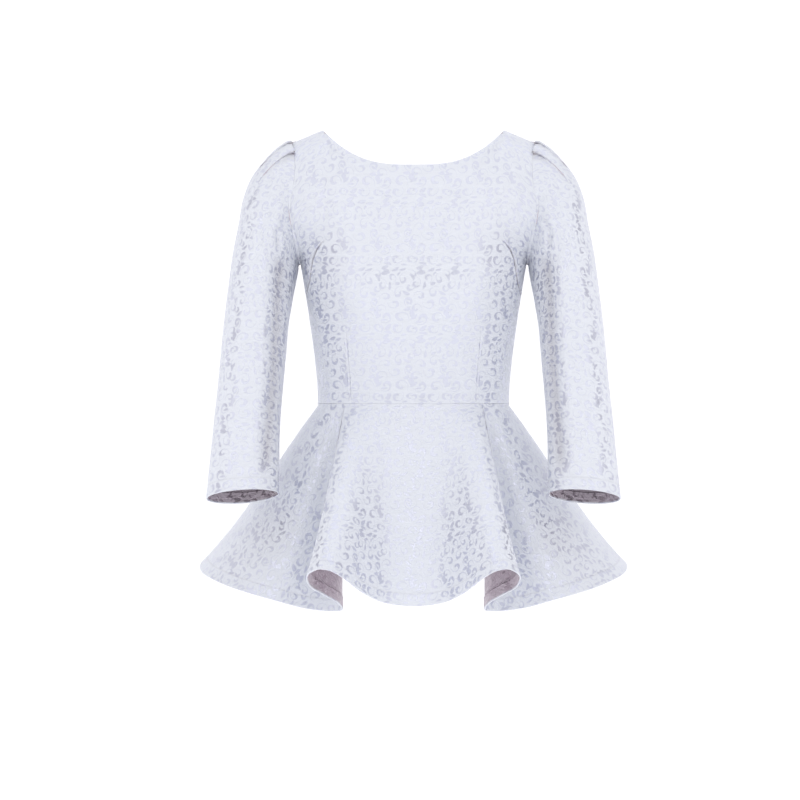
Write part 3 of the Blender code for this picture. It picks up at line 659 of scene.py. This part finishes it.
def besideLine(line, vertices):
    # Distance of each vertex from a line on the front or back view, and its place along the line
    starts, spans = line[:-1], np.diff(line, axis=0)
    sizes = np.sum(spans ** 2, axis=1)
    before = np.concatenate(([0], np.cumsum(np.sqrt(sizes))))
    flat = np.array([(abs(v.co.x), v.co.z) for v in vertices])
    t = np.clip(np.einsum("vsk,sk->vs", flat[:, None] - starts[None], spans) / sizes, 0, 1)
    distance = np.linalg.norm(flat[:, None] - starts[None] - spans[None] * t[..., None], axis=-1)
    nearest = distance.argmin(axis=1)
    rows = np.arange(len(nearest))
    place = before[nearest] + np.sqrt(sizes[nearest]) * t[rows, nearest]
    return distance[rows, nearest], place / before[-1]


def pressLines(work, creases):
    # Grooves and ridges along lines drawn on the front or back view of the garment, with painted shade laid
    # into a groove as far as its crease's shade asks
    turned = work.verts.layers.float["turned"]
    paintedShade = work.verts.layers.float["paintedShade"]

    def facing(side):
        work.normal_update()
        return [v for v in work.verts if v[turned] < 0.5 and v.normal.y * side > 0.02]

    for crease in creases:
        line = np.array(crease["line"], float) / 1000
        width, deep = crease["width"] / 1000, crease["deep"] / 1000
        side = crease.get("side", -1)
        near = facing(side)
        if "cuts" in crease:
            distance, _ = besideLine(line, near)
            inside = {v for v, d in zip(near, distance) if d < width * 3 + 0.0025}
            chosen = [e for e in work.edges if e.verts[0] in inside and e.verts[1] in inside]
            bmesh.ops.subdivide_edges(work, edges=chosen, cuts=crease["cuts"], use_grid_fill=True)
            near = facing(side)
        distance, place = besideLine(line, near)
        fadeIn, fadeOut = crease["fade"]
        strength = np.clip(place / fadeIn, 0, 1) * np.clip((1 - place) / fadeOut, 0, 1)
        strength = strength * strength * (3 - 2 * strength)
        groove, lip = bell(distance / width), bell((distance - 2.1 * width) / width)
        move = strength * deep * (crease["lip"] * lip - groove)
        # painted shade along the middle of the groove
        shade = strength * crease.get("shade", 0) * bell(distance / (0.8 * width))
        for vertex, amount, dark in zip(near, move, shade):
            if abs(amount) > 1e-7:
                vertex.co += vertex.normal * amount
                vertex[paintedShade] = max(vertex[paintedShade], dark)


def clothMesh(name, grid, creases, closed):
    points, cut = grid["points"], grid["cut"].reshape(-1, 2)
    rows, columns = points.shape[:2]
    work = bmesh.new()
    bmesh.ops.create_grid(work, x_segments=columns - 1, y_segments=rows - 1, size=0.5)
    onCut = work.loops.layers.uv.new("cut")
    turned = work.verts.layers.float.new("turned")
    paintedShade = work.verts.layers.float.new("paintedShade")
    work.verts.ensure_lookup_table()
    # each point's painted shade goes into the paintedShade attribute
    marks = zip(points.reshape(-1, 3), grid["turned"].flat, grid["shade"].flat)
    for vertex, (point, mark, dark) in zip(work.verts, marks):
        vertex.co = point
        vertex[turned], vertex[paintedShade] = mark, dark
    for face in work.faces:
        for loop in face.loops:
            loop[onCut].uv = cut[loop.vert.index]
    if closed:
        seam = [v for v in work.verts if v.index % columns in (0, columns - 1)]
        bmesh.ops.remove_doubles(work, verts=seam, dist=0.000002)
    pressLines(work, creases)
    inside = [int(min(v[turned] for v in face.verts) > 1.5) for face in work.faces]
    mesh = bpy.data.meshes.new(name)
    work.to_mesh(mesh)
    work.free()
    mesh.shade_smooth()
    for look in jacquard:
        mesh.materials.append(look)
    for face, inner in zip(mesh.polygons, inside):
        face.material_index = inner
    return mesh


def clothPiece(name, node, grid, creases=(), closed=False):
    piece = bpy.data.objects.new(name, clothMesh(name, grid, creases, closed))
    bpy.context.scene.collection.objects.link(piece)
    wall = piece.modifiers.new("wall", "SOLIDIFY")
    wall.thickness = cloth["wall"]
    wall.offset = -1
    wall.material_offset = 1
    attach(piece, "garment")
    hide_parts(node)
    size, area = flatSize(grid)


def flatSize(grid):
    cut, points = grid["cut"].reshape(-1, 2), grid["points"]
    a, b = points[1:, 1:] - points[:-1, :-1], points[1:, :-1] - points[:-1, 1:]
    area = float(np.linalg.norm(np.cross(a, b), axis=-1).sum() / 2)
    wide, long = (float(size) for size in cut.max(axis=0) - cut.min(axis=0))
    return (wide, long), min(area, wide * long)


# Shaders

class Wire:
    # A shader socket that can be used in sums
    def __init__(self, tree, socket=None):
        self.tree = tree
        self.socket = socket

    def node(self, kind, settings=None, sockets=None, out=0):
        made = self.tree.nodes.new(kind)
        for name, value in (settings or {}).items():
            setattr(made, name, value)
        for name, value in (sockets or {}).items():
            if isinstance(value, Wire):
                self.tree.links.new(value.socket, made.inputs[name])
            else:
                made.inputs[name].default_value = value
        return Wire(self.tree, made.outputs[out] if made.outputs else None)

    def parts(self):
        split = self.node("ShaderNodeSeparateXYZ", sockets={"Vector": self}).socket.node
        return [Wire(self.tree, output) for output in split.outputs]

    def maths(self, operation, *values):
        return self.node("ShaderNodeMath", {"operation": operation}, dict(enumerate((self, *values))))

    def __add__(self, other):
        return self.maths("ADD", other)

    def __sub__(self, other):
        return self.maths("SUBTRACT", other)

    def __mul__(self, other):
        return self.maths("MULTIPLY", other)

    def __rsub__(self, other):
        return self.times(-1, other)

    def __abs__(self):
        return self.maths("ABSOLUTE")

    __radd__ = __add__
    __rmul__ = __mul__

    def times(self, factor, extra):
        return self.maths("MULTIPLY_ADD", factor, extra)

    def plus(self, other, factor):
        return self.node("ShaderNodeMath", {"operation": "MULTIPLY_ADD"}, {0: other, 1: factor, 2: self})

    def most(self, other):
        return self.maths("MAXIMUM", other)

    def clamped(self):
        return self.node("ShaderNodeClamp", sockets={"Value": self})

    def mix(self, first, second):
        return self.node("ShaderNodeMix", {"data_type": "RGBA"}, {0: self, 6: first, 7: second}, 2)


def newLook(name):
    look = bpy.data.materials.new(name)
    look.use_nodes = True
    look.node_tree.nodes.clear()
    return look, Wire(look.node_tree)


weave = {
    "wide": 44.0,              # the figure's repeat, in its own units
    "tall": 88.0,
    "unitsPerMetre": 880,      # size of those units
    "stem": 0.092,
    "swell": 0.12,
    "swellSharp": 2.6,
    "swellPlace": 0.15,
    "plumpLeaf": 1.35,
    "slimLeaf": 0.85,
    "openness": 0.24,          # how fast a scroll opens
    "stray": 6,                # how far the figure wanders from its repeat, in units
    "straySize": 26.0,
    "thread": 0.00085,
    "ripple": (62, 310, 1),    # lines across the cloth, as a weft that shrinks draws them
    "figureRise": 0.00016,
    "rippleRise": (0.00085, 0.00015),  # on the ground and on the figure
    "threadRise": 0.00003,
    "shade": 1.0,              # how much the painted shade in creases, folds and hem marks darkens the colour
    # colour towards which painted shade darkens the cloth
    "shadow": (0.19, 0.145, 0.155),
    "ground": ((0.68, 0.70, 0.75), (0.765, 0.785, 0.835)),
    "satin": ((0.61, 0.625, 0.72), (0.69, 0.705, 0.79)),
    # the wrong side's own mauve-grey reverse colour, made darker as painted shade for the shadowed inside
    "groundInsideShaded": ((0.52, 0.46, 0.515), (0.66, 0.60, 0.655)),
    "satinInsideShaded": ((0.59, 0.53, 0.58), (0.72, 0.66, 0.71)),
}
scrolls = [  # x, y, size, turn, hand
    (28.5, 23.0, 10.5, 150, -1),
    (9.9, 22.9, 10.0, 20, -1),
    (20.2, 41.3, 9.5, 345, -1),
    (23.4, 9.6, 9.5, 220, 1),
    (38.4, 44.3, 9.0, 120, 1),
    (25.6, 55.7, 9.0, 225, -1),
    (2.1, 35.0, 8.5, 155, -1),
    (8.5, 50.8, 8.5, 25, 1),
    (3.0, 66.2, 8.0, 270, 1),
    (40.7, 8.5, 8.0, 125, -1),
    (32.5, 71.4, 7.5, 250, -1),
    (16.9, 73.5, 7.5, 85, -1),
    (42.4, 78.0, 7.0, 345, 1),
    (40.2, 62.1, 7.0, 265, 1),
    (1.2, 9.2, 6.5, 345, -1),
]
leaves = [  # x, y, length, turn, bend
    (42.2, 33.9, 11.0, 250, 0.4),
    (27.2, 86.7, 11.0, 225, -0.4),
    (16.6, 1.0, 10.5, 140, 0.4),
    (14.2, 79.6, 10.5, 160, 0.4),
    (3.7, 28.3, 10.0, 245, -0.4),
    (40.9, 53.9, 10.0, 180, -0.4),
    (7.2, 7.9, 9.5, 10, 0.4),
    (11.8, 59.5, 9.5, 55, 0.4),
    (35.8, 85.1, 9.0, 220, -0.4),
    (3.3, 85.3, 9.0, 355, 0.4),
    (0.2, 70.1, 8.5, 85, 0.4),
    (2.6, 17.9, 8.5, 30, -0.4),
    (39.6, 32.8, 8.0, 155, 0.4),
    (35.1, 45.4, 8.0, 290, 0.4),
    (37.0, 1.5, 7.5, 160, 0.4),
    (21.1, 64.8, 6.5, 45, -0.4),
    (24.5, 75.2, 6.5, 75, -0.4),
]


def figureField(x, y):
    # Distance inside the woven figure in its own units, below zero on the ground
    best = None
    opening = weave["openness"]
    for cx, cy, size, turn, hand in scrolls:
        px, py = turned(x - cx, y - cy, size, turn, hand)
        r = (px * px).plus(py, py).maths("SQRT")
        angle = py.maths("ARCTAN2", px)
        spiral = angle.times(opening, -opening * math.pi).maths("EXPONENT")
        bow = angle.times(weave["swellSharp"] / math.pi, weave["swellSharp"] * weave["swellPlace"])
        swell = (1 - bow * bow).most(0.0) * weave["swell"]
        stem = angle.times(-0.85 * weave["stem"] / math.pi, weave["stem"])
        inside = (swell + stem - abs(r - spiral)) * size
        best = inside if best is None else best.most(inside)
    for i, (cx, cy, size, turn, bend) in enumerate(leaves):
        px, py = turned(x - cx, y - cy, size, turn)
        wide = weave["plumpLeaf"] if i % 3 == 0 else weave["slimLeaf"]
        inside = ((1 - px) * px * wide - abs(py - px * px * bend)) * size
        best = best.most(inside)
    return best


def turned(x, y, size, turn, hand=1):
    # A place beside an ornament, seen from its own direction and size; the nearest repeat counts
    x = x.maths("WRAP", weave["wide"] / 2, -weave["wide"] / 2)
    y = y.maths("WRAP", weave["tall"] / 2, -weave["tall"] / 2)
    c, s = math.cos(math.radians(turn)) / size, math.sin(math.radians(turn)) / size
    px = (x * c).plus(y, s)
    py = (x * (-s * hand)).plus(y, c * hand)
    return px, py


def jacquardLook(name, groundName, satinName):
    look, start = newLook(name)
    cutPlace = start.node("ShaderNodeUVMap", {"uv_map": "cut"})
    stray = start.node("ShaderNodeTexNoise", {"noise_dimensions": "2D"},
                       {"Vector": cutPlace, "Scale": weave["straySize"], "Detail": 1.0}, 1)
    across, down = stray.parts()[:2]
    u, v = cutPlace.parts()[:2]
    wander = weave["stray"]
    x = u * weave["unitsPerMetre"] + across.times(wander, -wander / 2)
    y = v * weave["unitsPerMetre"] + down.times(wander, -wander / 2)
    figure = figureField(x, y).times(1.6, 0.5).clamped()
    squeezed = start.node("ShaderNodeMapping", sockets={"Vector": cutPlace, "Scale": weave["ripple"]})
    ripple = start.node("ShaderNodeTexNoise", {"noise_dimensions": "2D"},
                        {"Vector": squeezed, "Scale": 1.0, "Detail": 2.0, "Roughness": 0.6})
    fleck = start.node("ShaderNodeTexNoise", {"noise_dimensions": "2D"},
                       {"Vector": cutPlace, "Scale": 900.0, "Detail": 1.0})
    warp, weft = ((way * (2 * math.pi / weave["thread"])).maths("SINE") for way in (u, v))
    onGround, onFigure = weave["rippleRise"]
    relief = (figure * weave["figureRise"] + ripple * figure.times(onFigure - onGround, onGround)
              + warp * weft * weave["threadRise"] + fleck * weave["threadRise"])
    normal = start.node("ShaderNodeBump", sockets={"Height": relief, "Distance": 1.0, "Strength": 0.8})
    tone = (ripple * 0.5 + fleck * 0.5).clamped()
    # painted shade: the paintedShade attribute pulls both colours towards the shadow colour
    paintedShade = start.node("ShaderNodeAttribute", {"attribute_name": "paintedShade"}, out=2)
    deep = paintedShade.times(weave["shade"], 0.0).clamped()
    shadow = (*weave["shadow"], 1)
    ground, satin = (deep.mix(tone.mix(*((*colour, 1) for colour in weave[key])), shadow)
                     for key in (groundName, satinName))
    dull = start.node("ShaderNodeBsdfPrincipled", sockets={
        "Base Color": ground, "Roughness": 0.62, "Normal": normal, "Sheen Weight": 0.05,
        "Sheen Roughness": 0.4, "Specular IOR Level": 0.2})
    bright = start.node("ShaderNodeBsdfPrincipled", sockets={
        "Base Color": satin, "Roughness": 0.32, "Metallic": 0.80, "Normal": normal,
        "Specular IOR Level": 0.5})
    both = start.node("ShaderNodeMixShader", sockets={0: figure, 1: dull, 2: bright})
    start.node("ShaderNodeOutputMaterial", sockets={"Surface": both})
    return look


def plainLook(name, dark, light, roughness, scale, relief, metallic=0.0):
    look, start = newLook(name)
    place = start.node("ShaderNodeTexCoord", out=3)
    grain = start.node("ShaderNodeTexNoise", sockets={"Vector": place, "Scale": scale, "Detail": 3.0})
    normal = start.node("ShaderNodeBump", sockets={"Height": grain, "Distance": relief, "Strength": 1.0})
    rough = grain * 0.2 + (roughness - 0.1)
    shader = start.node("ShaderNodeBsdfPrincipled", sockets={
        "Base Color": grain.mix((*dark, 1), (*light, 1)), "Roughness": rough, "Metallic": metallic,
        "Normal": normal})
    start.node("ShaderNodeOutputMaterial", sockets={"Surface": shader})
    return look


# Creases and darts, in millimetres on the front or back view; a crease's shade is painted shade laid into
# its groove

# painted shade in the bust dart's groove, faint in the waist dart's
darts = [
    {"line": [(160, -236), (157, -231), (152, -215), (150, -200), (147, -185), (141, -171), (134, -162),
              (124, -154)],
     "width": 1.1, "deep": 3.2, "cuts": 3, "fade": (0.02, 0.35), "lip": 0.25, "shade": 0.85},
    {"line": [(91.5, -393), (92.5, -366), (98, -294), (99, -270)],
     "width": 0.9, "deep": 1.0, "cuts": 3, "fade": (0.03, 0.5), "lip": 0.3, "shade": 0.05},
]
# faint painted shade in the back waist dart's groove
backDarts = [
    {"line": [(82, -393), (82, -360), (84, -300), (86, -250)],
     "width": 0.7, "deep": 1.3, "cuts": 3, "fade": (0.03, 0.3), "lip": 0.3, "side": 1, "shade": 0.1},
    {"line": [(12, -352), (46, -360), (92, -352)],
     "width": 6.0, "deep": 1.1, "fade": (0.4, 0.4), "lip": 0.6, "side": 1},
    {"line": [(30, -378), (66, -383), (112, -372)],
     "width": 5.0, "deep": 0.9, "fade": (0.4, 0.4), "lip": 0.6, "side": 1},
    {"line": [(150, -200), (136, -222), (128, -250)],
     "width": 5.5, "deep": 1.2, "fade": (0.3, 0.5), "lip": 0.6, "side": 1},
]
frontCreases = [
    {"line": [(152, -262), (146, -285), (143, -312)],
     "width": 5.0, "deep": 0.8, "fade": (0.4, 0.5), "lip": 0.6},
    {"line": [(132, -383), (108, -377), (80, -381)],
     "width": 4.5, "deep": 0.6, "fade": (0.3, 0.5), "lip": 0.6},
]
sleeveCreases = [
    # the inner sleeve's long trough, with painted shade along it
    {"line": [(193, -172), (193, -200), (199, -350), (206, -440), (209, -505)],
     "width": 10.0, "deep": 3.6, "fade": (0.1, 0.12), "lip": 0.45, "shade": 0.26},
    {"line": [(190, -121), (199, -131), (206, -146), (209, -160)],
     "width": 4.0, "deep": -1.8, "fade": (0.3, 0.4), "lip": 0.5},
    {"line": [(196, -146), (196, -160), (198, -176)],
     "width": 3.4, "deep": 2.0, "fade": (0.4, 0.5), "lip": 0.6, "shade": 0.1},
    {"line": [(206, -60), (213, -80), (218, -104)],
     "width": 5.0, "deep": 1.6, "fade": (0.3, 0.4), "lip": 0.6},
    {"line": [(196, -284), (222, -296), (256, -288)],
     "width": 5.5, "deep": 1.5, "fade": (0.4, 0.4), "lip": 0.7, "side": 1},
    {"line": [(200, -318), (228, -324), (262, -312)],
     "width": 5.0, "deep": 1.3, "fade": (0.4, 0.4), "lip": 0.7, "side": 1},
    {"line": [(186, -206), (204, -222), (226, -230)],
     "width": 5.0, "deep": 1.2, "fade": (0.3, 0.5), "lip": 0.6, "side": 1},
]
peplumCreases = [
    {"line": [(104, -412), (112, -450), (118, -500)],
     "width": 6.0, "deep": 1.0, "fade": (0.2, 0.5), "lip": 0.6},
]

print("cloth")
# the outside and the wrong side, whose colours carry painted shade for the inside
jacquard = (jacquardLook("jacquard", "ground", "satin"),
            jacquardLook("jacquardWrongSideShaded", "groundInsideShaded", "satinInsideShaded"))
zipper = {
    "sliderDrop": 0.0965,
    "sliderReach": 0.013,      # the back edges part round the slider
    "sliderRoom": 0.0011,
}


def necklineShare(u):
    # 1 under the neckline and 0 along the shoulder seam
    return np.clip((body["neckShare"] + 0.004 - u) / 0.008, 0, 1)


def makeFront():
    points, cut, u = bodicePanel(-1)
    half = turnIn(clothGrid(points, cut), "right", seamRoll=edges["armholeRoll"])
    grid = turnIn(bothHalves(half), "bottom", seamRoll=edges["flatRoll"])
    u = np.concatenate((u, np.ones(half["points"].shape[1] - len(u))))
    share = necklineShare(np.concatenate((u[:0:-1], u)))
    grid = turnIn(grid, "top", hemShare=share, hemTurn=edges["neckTurn"])
    clothPiece("frontBodice", "front_bodice", grid,
               darts + frontCreases)


def makeBack(name, node, flip):
    points, cut, u = bodicePanel(1)
    above = points[:, 0, 2] - height(zipper["sliderDrop"])
    near = np.clip(1 - (above / zipper["sliderReach"]) ** 2, 0, None)
    points[:, 0, 0] = body["seamGap"] / 2 + zipper["sliderRoom"] * near
    half = turnIn(clothGrid(points[:, ::-1], cut[:, ::-1] * (-1, 1)), "left", seamRoll=edges["armholeRoll"])
    half = turnIn(half, "right", seamTurn=edges["zipTurn"])
    added = half["points"].shape[1] - len(u)
    share = necklineShare(np.concatenate((np.ones(added // 2), u[::-1], np.zeros(added - added // 2))))
    half = turnIn(half, "bottom", seamRoll=edges["flatRoll"])
    half = turnIn(half, "top", hemShare=share, hemTurn=edges["neckTurn"])
    clothPiece(name, node, mirrored(half) if flip else half, backDarts)


def makePeplumFront():
    half = turnIn(clothGrid(*peplumPanel(0.0, 90.0)), "right")
    grid = turnIn(bothHalves(half), "top", seamRoll=edges["flatRoll"])
    grid = turnIn(feltHem(grid, "bottom", peplum["hemMark"]), "bottom", hemShare=1.0)
    clothPiece("peplumFront", "peplum_front", grid, peplumCreases)


def makePeplumBack(name, node, flip):
    points, cut, shade = peplumPanel(90.0, 180.0)
    points[:, -1, 0] = body["seamGap"] / 2
    half = turnIn(clothGrid(points, cut * (-1, 1), shade), "left")
    half = turnIn(half, "right", seamTurn=edges["zipTurn"])
    half = turnIn(half, "top", seamRoll=edges["flatRoll"])
    half = turnIn(feltHem(half, "bottom", peplum["hemMark"]), "bottom", hemShare=1.0)
    clothPiece(name, node, mirrored(half) if flip else half)


def makeSleeve(name, node, flip):
    grid = clothGrid(*sleevePanel(), closed=True)
    grid = turnIn(grid, "bottom", closed=True, seamRoll=edges["armholeRoll"])
    grid = turnIn(feltHem(grid, "top", sleeve["cuffMark"]), "top", hemShare=1.0, closed=True)
    grid = mirrored(grid) if flip else grid
    clothPiece(name, node, grid, sleeveCreases, closed=True)


print("bodice")
makeFront()
makeBack("backBodiceLeft", "back_bodice_left", False)
makeBack("backBodiceRight", "back_bodice_right", True)
print("peplum")
makePeplumFront()
makePeplumBack("peplumBackLeft", "peplum_back_left", False)
makePeplumBack("peplumBackRight", "peplum_back_right", True)
print("sleeves")
makeSleeve("sleeveLeft", "sleeve_left", False)
makeSleeve("sleeveRight", "sleeve_right", True)

print("zip")
zipCloth = plainLook("zipTape", (0.66, 0.68, 0.76), (0.78, 0.80, 0.88), 0.7, scale=1800.0, relief=0.0001)
zipMetal = plainLook("zipMetal", (0.70, 0.71, 0.78), (0.80, 0.81, 0.87), 0.35, metallic=0.6,
                     scale=900.0, relief=0.00001)
for node, look in (("zip_tape", zipCloth), ("zip_slider", zipMetal), ("zip_pull", zipMetal)):
    bpy.data.objects[node].data.materials.clear()
    bpy.data.objects[node].data.materials.append(look)

# Studio

studio = {
    "floor": -1.45,
    "away": 4.5,               # distance of the backdrop
    "floorHalf": 40.0,
    "wallHeight": 6,
    "sweepRound": 1.2,
    "glow": 0.19,
    "camera": (0.0, -4.0, -0.369),
    "pixels": 800,
    "widthAtObject": 1.184,
    "shift": (-13.5, -14.6),   # in pixels of the photograph's frame
    "front": (0.56, 0.56, 0.57, 1),
    "sides": (0.50, 0.48, 0.51, 1),
    "behind": (0.62, 0.62, 0.64, 1),
    "overhead": (1.26, 1.27, 1.30, 1),
    "lightsAt": (0, 0, -0.35),
}
lamps = [  # name, place, width and height, watts
    ("band", (0, -3.4, 1.35), (4.0, 0.3), 16),
    ("keyLeft", (2.6, -2.4, 0.8), (1.6, 2.6), 12),
    ("rimLeft", (3.0, 0, -0.5), (0.7, 1.6), 5.5),
    ("keyRight", (-2.6, -2.4, 0.8), (1.6, 2.6), 12),
    ("rimRight", (-3.0, 0, -0.5), (0.7, 1.6), 5.5),
]


def makeLamp(name, place, size, power):
    data = bpy.data.lights.new(name, "AREA")
    data.shape = "RECTANGLE"
    data.size, data.size_y = size
    data.energy = power
    lamp = bpy.data.objects.new(name, data)
    bpy.context.scene.collection.objects.link(lamp)
    lamp.location = place
    lamp.rotation_euler = (Vector(studio["lightsAt"]) - Vector(place)).to_track_quat("-Z", "Y").to_euler()


def makeStage():
    # A floor that rises into a backdrop, in one sweep
    work = bmesh.new()
    half, rise = studio["floorHalf"], (0, 0, studio["wallHeight"])
    bmesh.ops.create_grid(work, x_segments=1, y_segments=1, size=half)
    back = [e for e in work.edges if all(v.co.y > 0 for v in e.verts)]
    wall = bmesh.ops.extrude_edge_only(work, edges=back)["geom"]
    bmesh.ops.translate(work, verts=[v for v in wall if isinstance(v, bmesh.types.BMVert)], vec=rise)
    bmesh.ops.bevel(work, geom=back, offset=studio["sweepRound"], segments=16, profile=0.5, affect="EDGES",
                    material=-1)
    bmesh.ops.translate(work, verts=work.verts, vec=(0, studio["away"] - half, studio["floor"]))
    mesh = bpy.data.meshes.new("sweep")
    work.to_mesh(mesh)
    work.free()
    mesh.shade_smooth()
    look, start = newLook("paper")
    place = start.node("ShaderNodeTexCoord", out=3)
    grain = start.node("ShaderNodeTexNoise", sockets={"Vector": place, "Scale": 60.0})
    shader = start.node("ShaderNodeBsdfPrincipled", sockets={
        "Base Color": grain.mix((0.90, 0.90, 0.905, 1), (0.93, 0.93, 0.935, 1)), "Roughness": 0.9,
        "Emission Color": (1.0, 1.0, 1.0, 1), "Emission Strength": studio["glow"]})
    start.node("ShaderNodeOutputMaterial", sockets={"Surface": shader})
    mesh.materials.append(look)
    sweep = bpy.data.objects.new("sweep", mesh)
    bpy.context.scene.collection.objects.link(sweep)


def makeRoom():
    # A room whose light changes with direction: dimmer at the sides, brightest overhead
    world = bpy.data.worlds.new("room")
    bpy.context.scene.world = world
    world.use_nodes = True
    world.node_tree.nodes.clear()
    sky = Wire(world.node_tree)
    _, behind, upward = sky.node("ShaderNodeTexCoord").parts()
    glow = behind.times(-1.4, -0.2).clamped().mix(studio["sides"], studio["front"])
    glow = behind.times(2.5, -0.2).clamped().mix(glow, studio["behind"])
    glow = upward.times(3.0, -1.5).clamped().mix(glow, studio["overhead"])
    light = sky.node("ShaderNodeBackground", sockets={"Color": glow, "Strength": 1.0})
    sky.node("ShaderNodeOutputWorld", sockets={"Surface": light})


def makeCamera():
    data = bpy.data.cameras.new("camera")
    camera = bpy.data.objects.new("camera", data)
    bpy.context.scene.collection.objects.link(camera)
    camera.location = studio["camera"]
    camera.rotation_euler = (math.radians(90), 0, 0)
    data.sensor_width = 36
    data.lens = 36 * -studio["camera"][1] / studio["widthAtObject"]
    data.shift_x, data.shift_y = (shift / studio["pixels"] for shift in studio["shift"])
    bpy.context.scene.camera = camera


print("studio")
makeStage()
makeRoom()
for lamp in lamps:
    makeLamp(*lamp)
bpy.context.scene.view_settings.view_transform = "Standard"
makeCamera()
